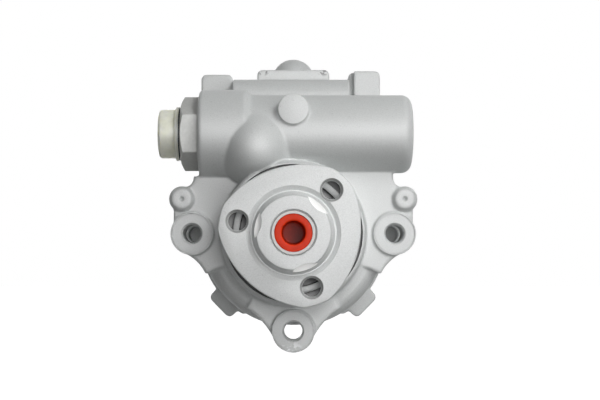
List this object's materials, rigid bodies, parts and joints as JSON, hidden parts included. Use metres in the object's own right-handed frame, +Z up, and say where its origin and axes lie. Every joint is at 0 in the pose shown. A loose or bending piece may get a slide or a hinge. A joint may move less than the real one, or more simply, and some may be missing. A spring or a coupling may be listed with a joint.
{
  "type": "power steering pump",
  "caption": "Vane-type power steering pump: silver cast housing with mounting ears, a rounded-triangle drive flange, a flow valve chest across the top and a capped pressure port.",
  "frame": {"origin": "point where the shaft axis meets the plane of the side mounting ear faces", "axes": "+Y along the shaft from the drive flange to the rear cover, +Z up to the valve chest, +X to the right of someone who looks at the drive flange"},
  "size_m": [0.1205, 0.126, 0.1456],
  "materials": {
    "cast_silver": "satin silver paint on a fine sand casting",
    "flange_silver": "satin silver paint on forged steel",
    "shaft_steel": "turned",
    "zinc_steel": "plated",
    "vane_steel": "ground",
    "spring_steel": "oiled",
    "bush_bronze": "satin",
    "black_rubber": "matte",
    "red_plastic": "soft sheen",
    "cream_plastic": "soft sheen"
  },
  "bodies": {
    "housing": {"pump_body": "cast_silver", "rear_cover": "cast_silver", "cover_bolts": "zinc_steel", "cover_oring": "black_rubber", "suction_oring": "black_rubber", "shaft_seal": "black_rubber", "front_bush": "bush_bronze", "rear_bush": "bush_bronze", "cam_ring": "vane_steel", "front_plate": "vane_steel", "pressure_plate": "vane_steel", "plate_oring": "black_rubber", "plate_pins": "vane_steel", "plate_spring": "spring_steel", "pressure_union": "zinc_steel", "union_oring": "black_rubber", "union_cap": "cream_plastic", "cap_ring": "black_rubber", "flow_spring": "spring_steel"},
    "drive": {"drive_flange": "flange_silver", "drive_shaft": "shaft_steel", "shaft_plug": "red_plastic", "rotor": "vane_steel", "rotor_clip": "spring_steel"},
    "spool": {"flow_spool": "vane_steel", "relief_seat": "vane_steel", "relief_spring": "spring_steel"},
    "poppet": {"relief_poppet": "vane_steel"},
    "vane_01": {"vane_01": "vane_steel"},
    "vane_02": {"vane_02": "vane_steel"},
    "vane_03": {"vane_03": "vane_steel"},
    "vane_04": {"vane_04": "vane_steel"},
    "vane_05": {"vane_05": "vane_steel"},
    "vane_06": {"vane_06": "vane_steel"},
    "vane_07": {"vane_07": "vane_steel"},
    "vane_08": {"vane_08": "vane_steel"},
    "vane_09": {"vane_09": "vane_steel"},
    "vane_10": {"vane_10": "vane_steel"}
  },
  "joints": [
    {"name": "shaft_spin", "type": "hinge", "parent": "housing", "child": "drive", "pos_m": [0, 0, 0], "axis": [0, -1, 0], "continuous": true},
    {"name": "spool_slide", "type": "slide", "parent": "housing", "child": "spool", "axis": [1, 0, 0], "range_m": [0, 0.008], "stiffness_N_per_m": 3000, "springref_m": -0.01, "deforming": ["flow_spring"]},
    {"name": "relief_slide", "type": "slide", "parent": "spool", "child": "poppet", "axis": [-1, 0, 0], "range_m": [0, 0.0015], "stiffness_N_per_m": 100, "springref_m": -0.003, "deforming": ["relief_spring"]},
    {"name": "vane_01_slide", "type": "slide", "parent": "drive", "child": "vane_01", "axis": [0.9511, 0, 0.309], "range_m": [-0.001, 0]},
    {"name": "vane_02_slide", "type": "slide", "parent": "drive", "child": "vane_02", "axis": [0.5878, 0, 0.809], "range_m": [-0.001, 0]},
    {"name": "vane_03_slide", "type": "slide", "parent": "drive", "child": "vane_03", "axis": [0, 0, 1], "range_m": [-0.001, 0]},
    {"name": "vane_04_slide", "type": "slide", "parent": "drive", "child": "vane_04", "axis": [-0.5878, 0, 0.809], "range_m": [-0.001, 0]},
    {"name": "vane_05_slide", "type": "slide", "parent": "drive", "child": "vane_05", "axis": [-0.9511, 0, 0.309], "range_m": [-0.001, 0]},
    {"name": "vane_06_slide", "type": "slide", "parent": "drive", "child": "vane_06", "axis": [-0.9511, 0, -0.309], "range_m": [-0.001, 0]},
    {"name": "vane_07_slide", "type": "slide", "parent": "drive", "child": "vane_07", "axis": [-0.5878, 0, -0.809], "range_m": [-0.001, 0]},
    {"name": "vane_08_slide", "type": "slide", "parent": "drive", "child": "vane_08", "axis": [0, 0, -1], "range_m": [-0.001, 0]},
    {"name": "vane_09_slide", "type": "slide", "parent": "drive", "child": "vane_09", "axis": [0.5878, 0, -0.809], "range_m": [-0.001, 0]},
    {"name": "vane_10_slide", "type": "slide", "parent": "drive", "child": "vane_10", "axis": [0.9511, 0, -0.309], "range_m": [-0.001, 0]}
  ]
}
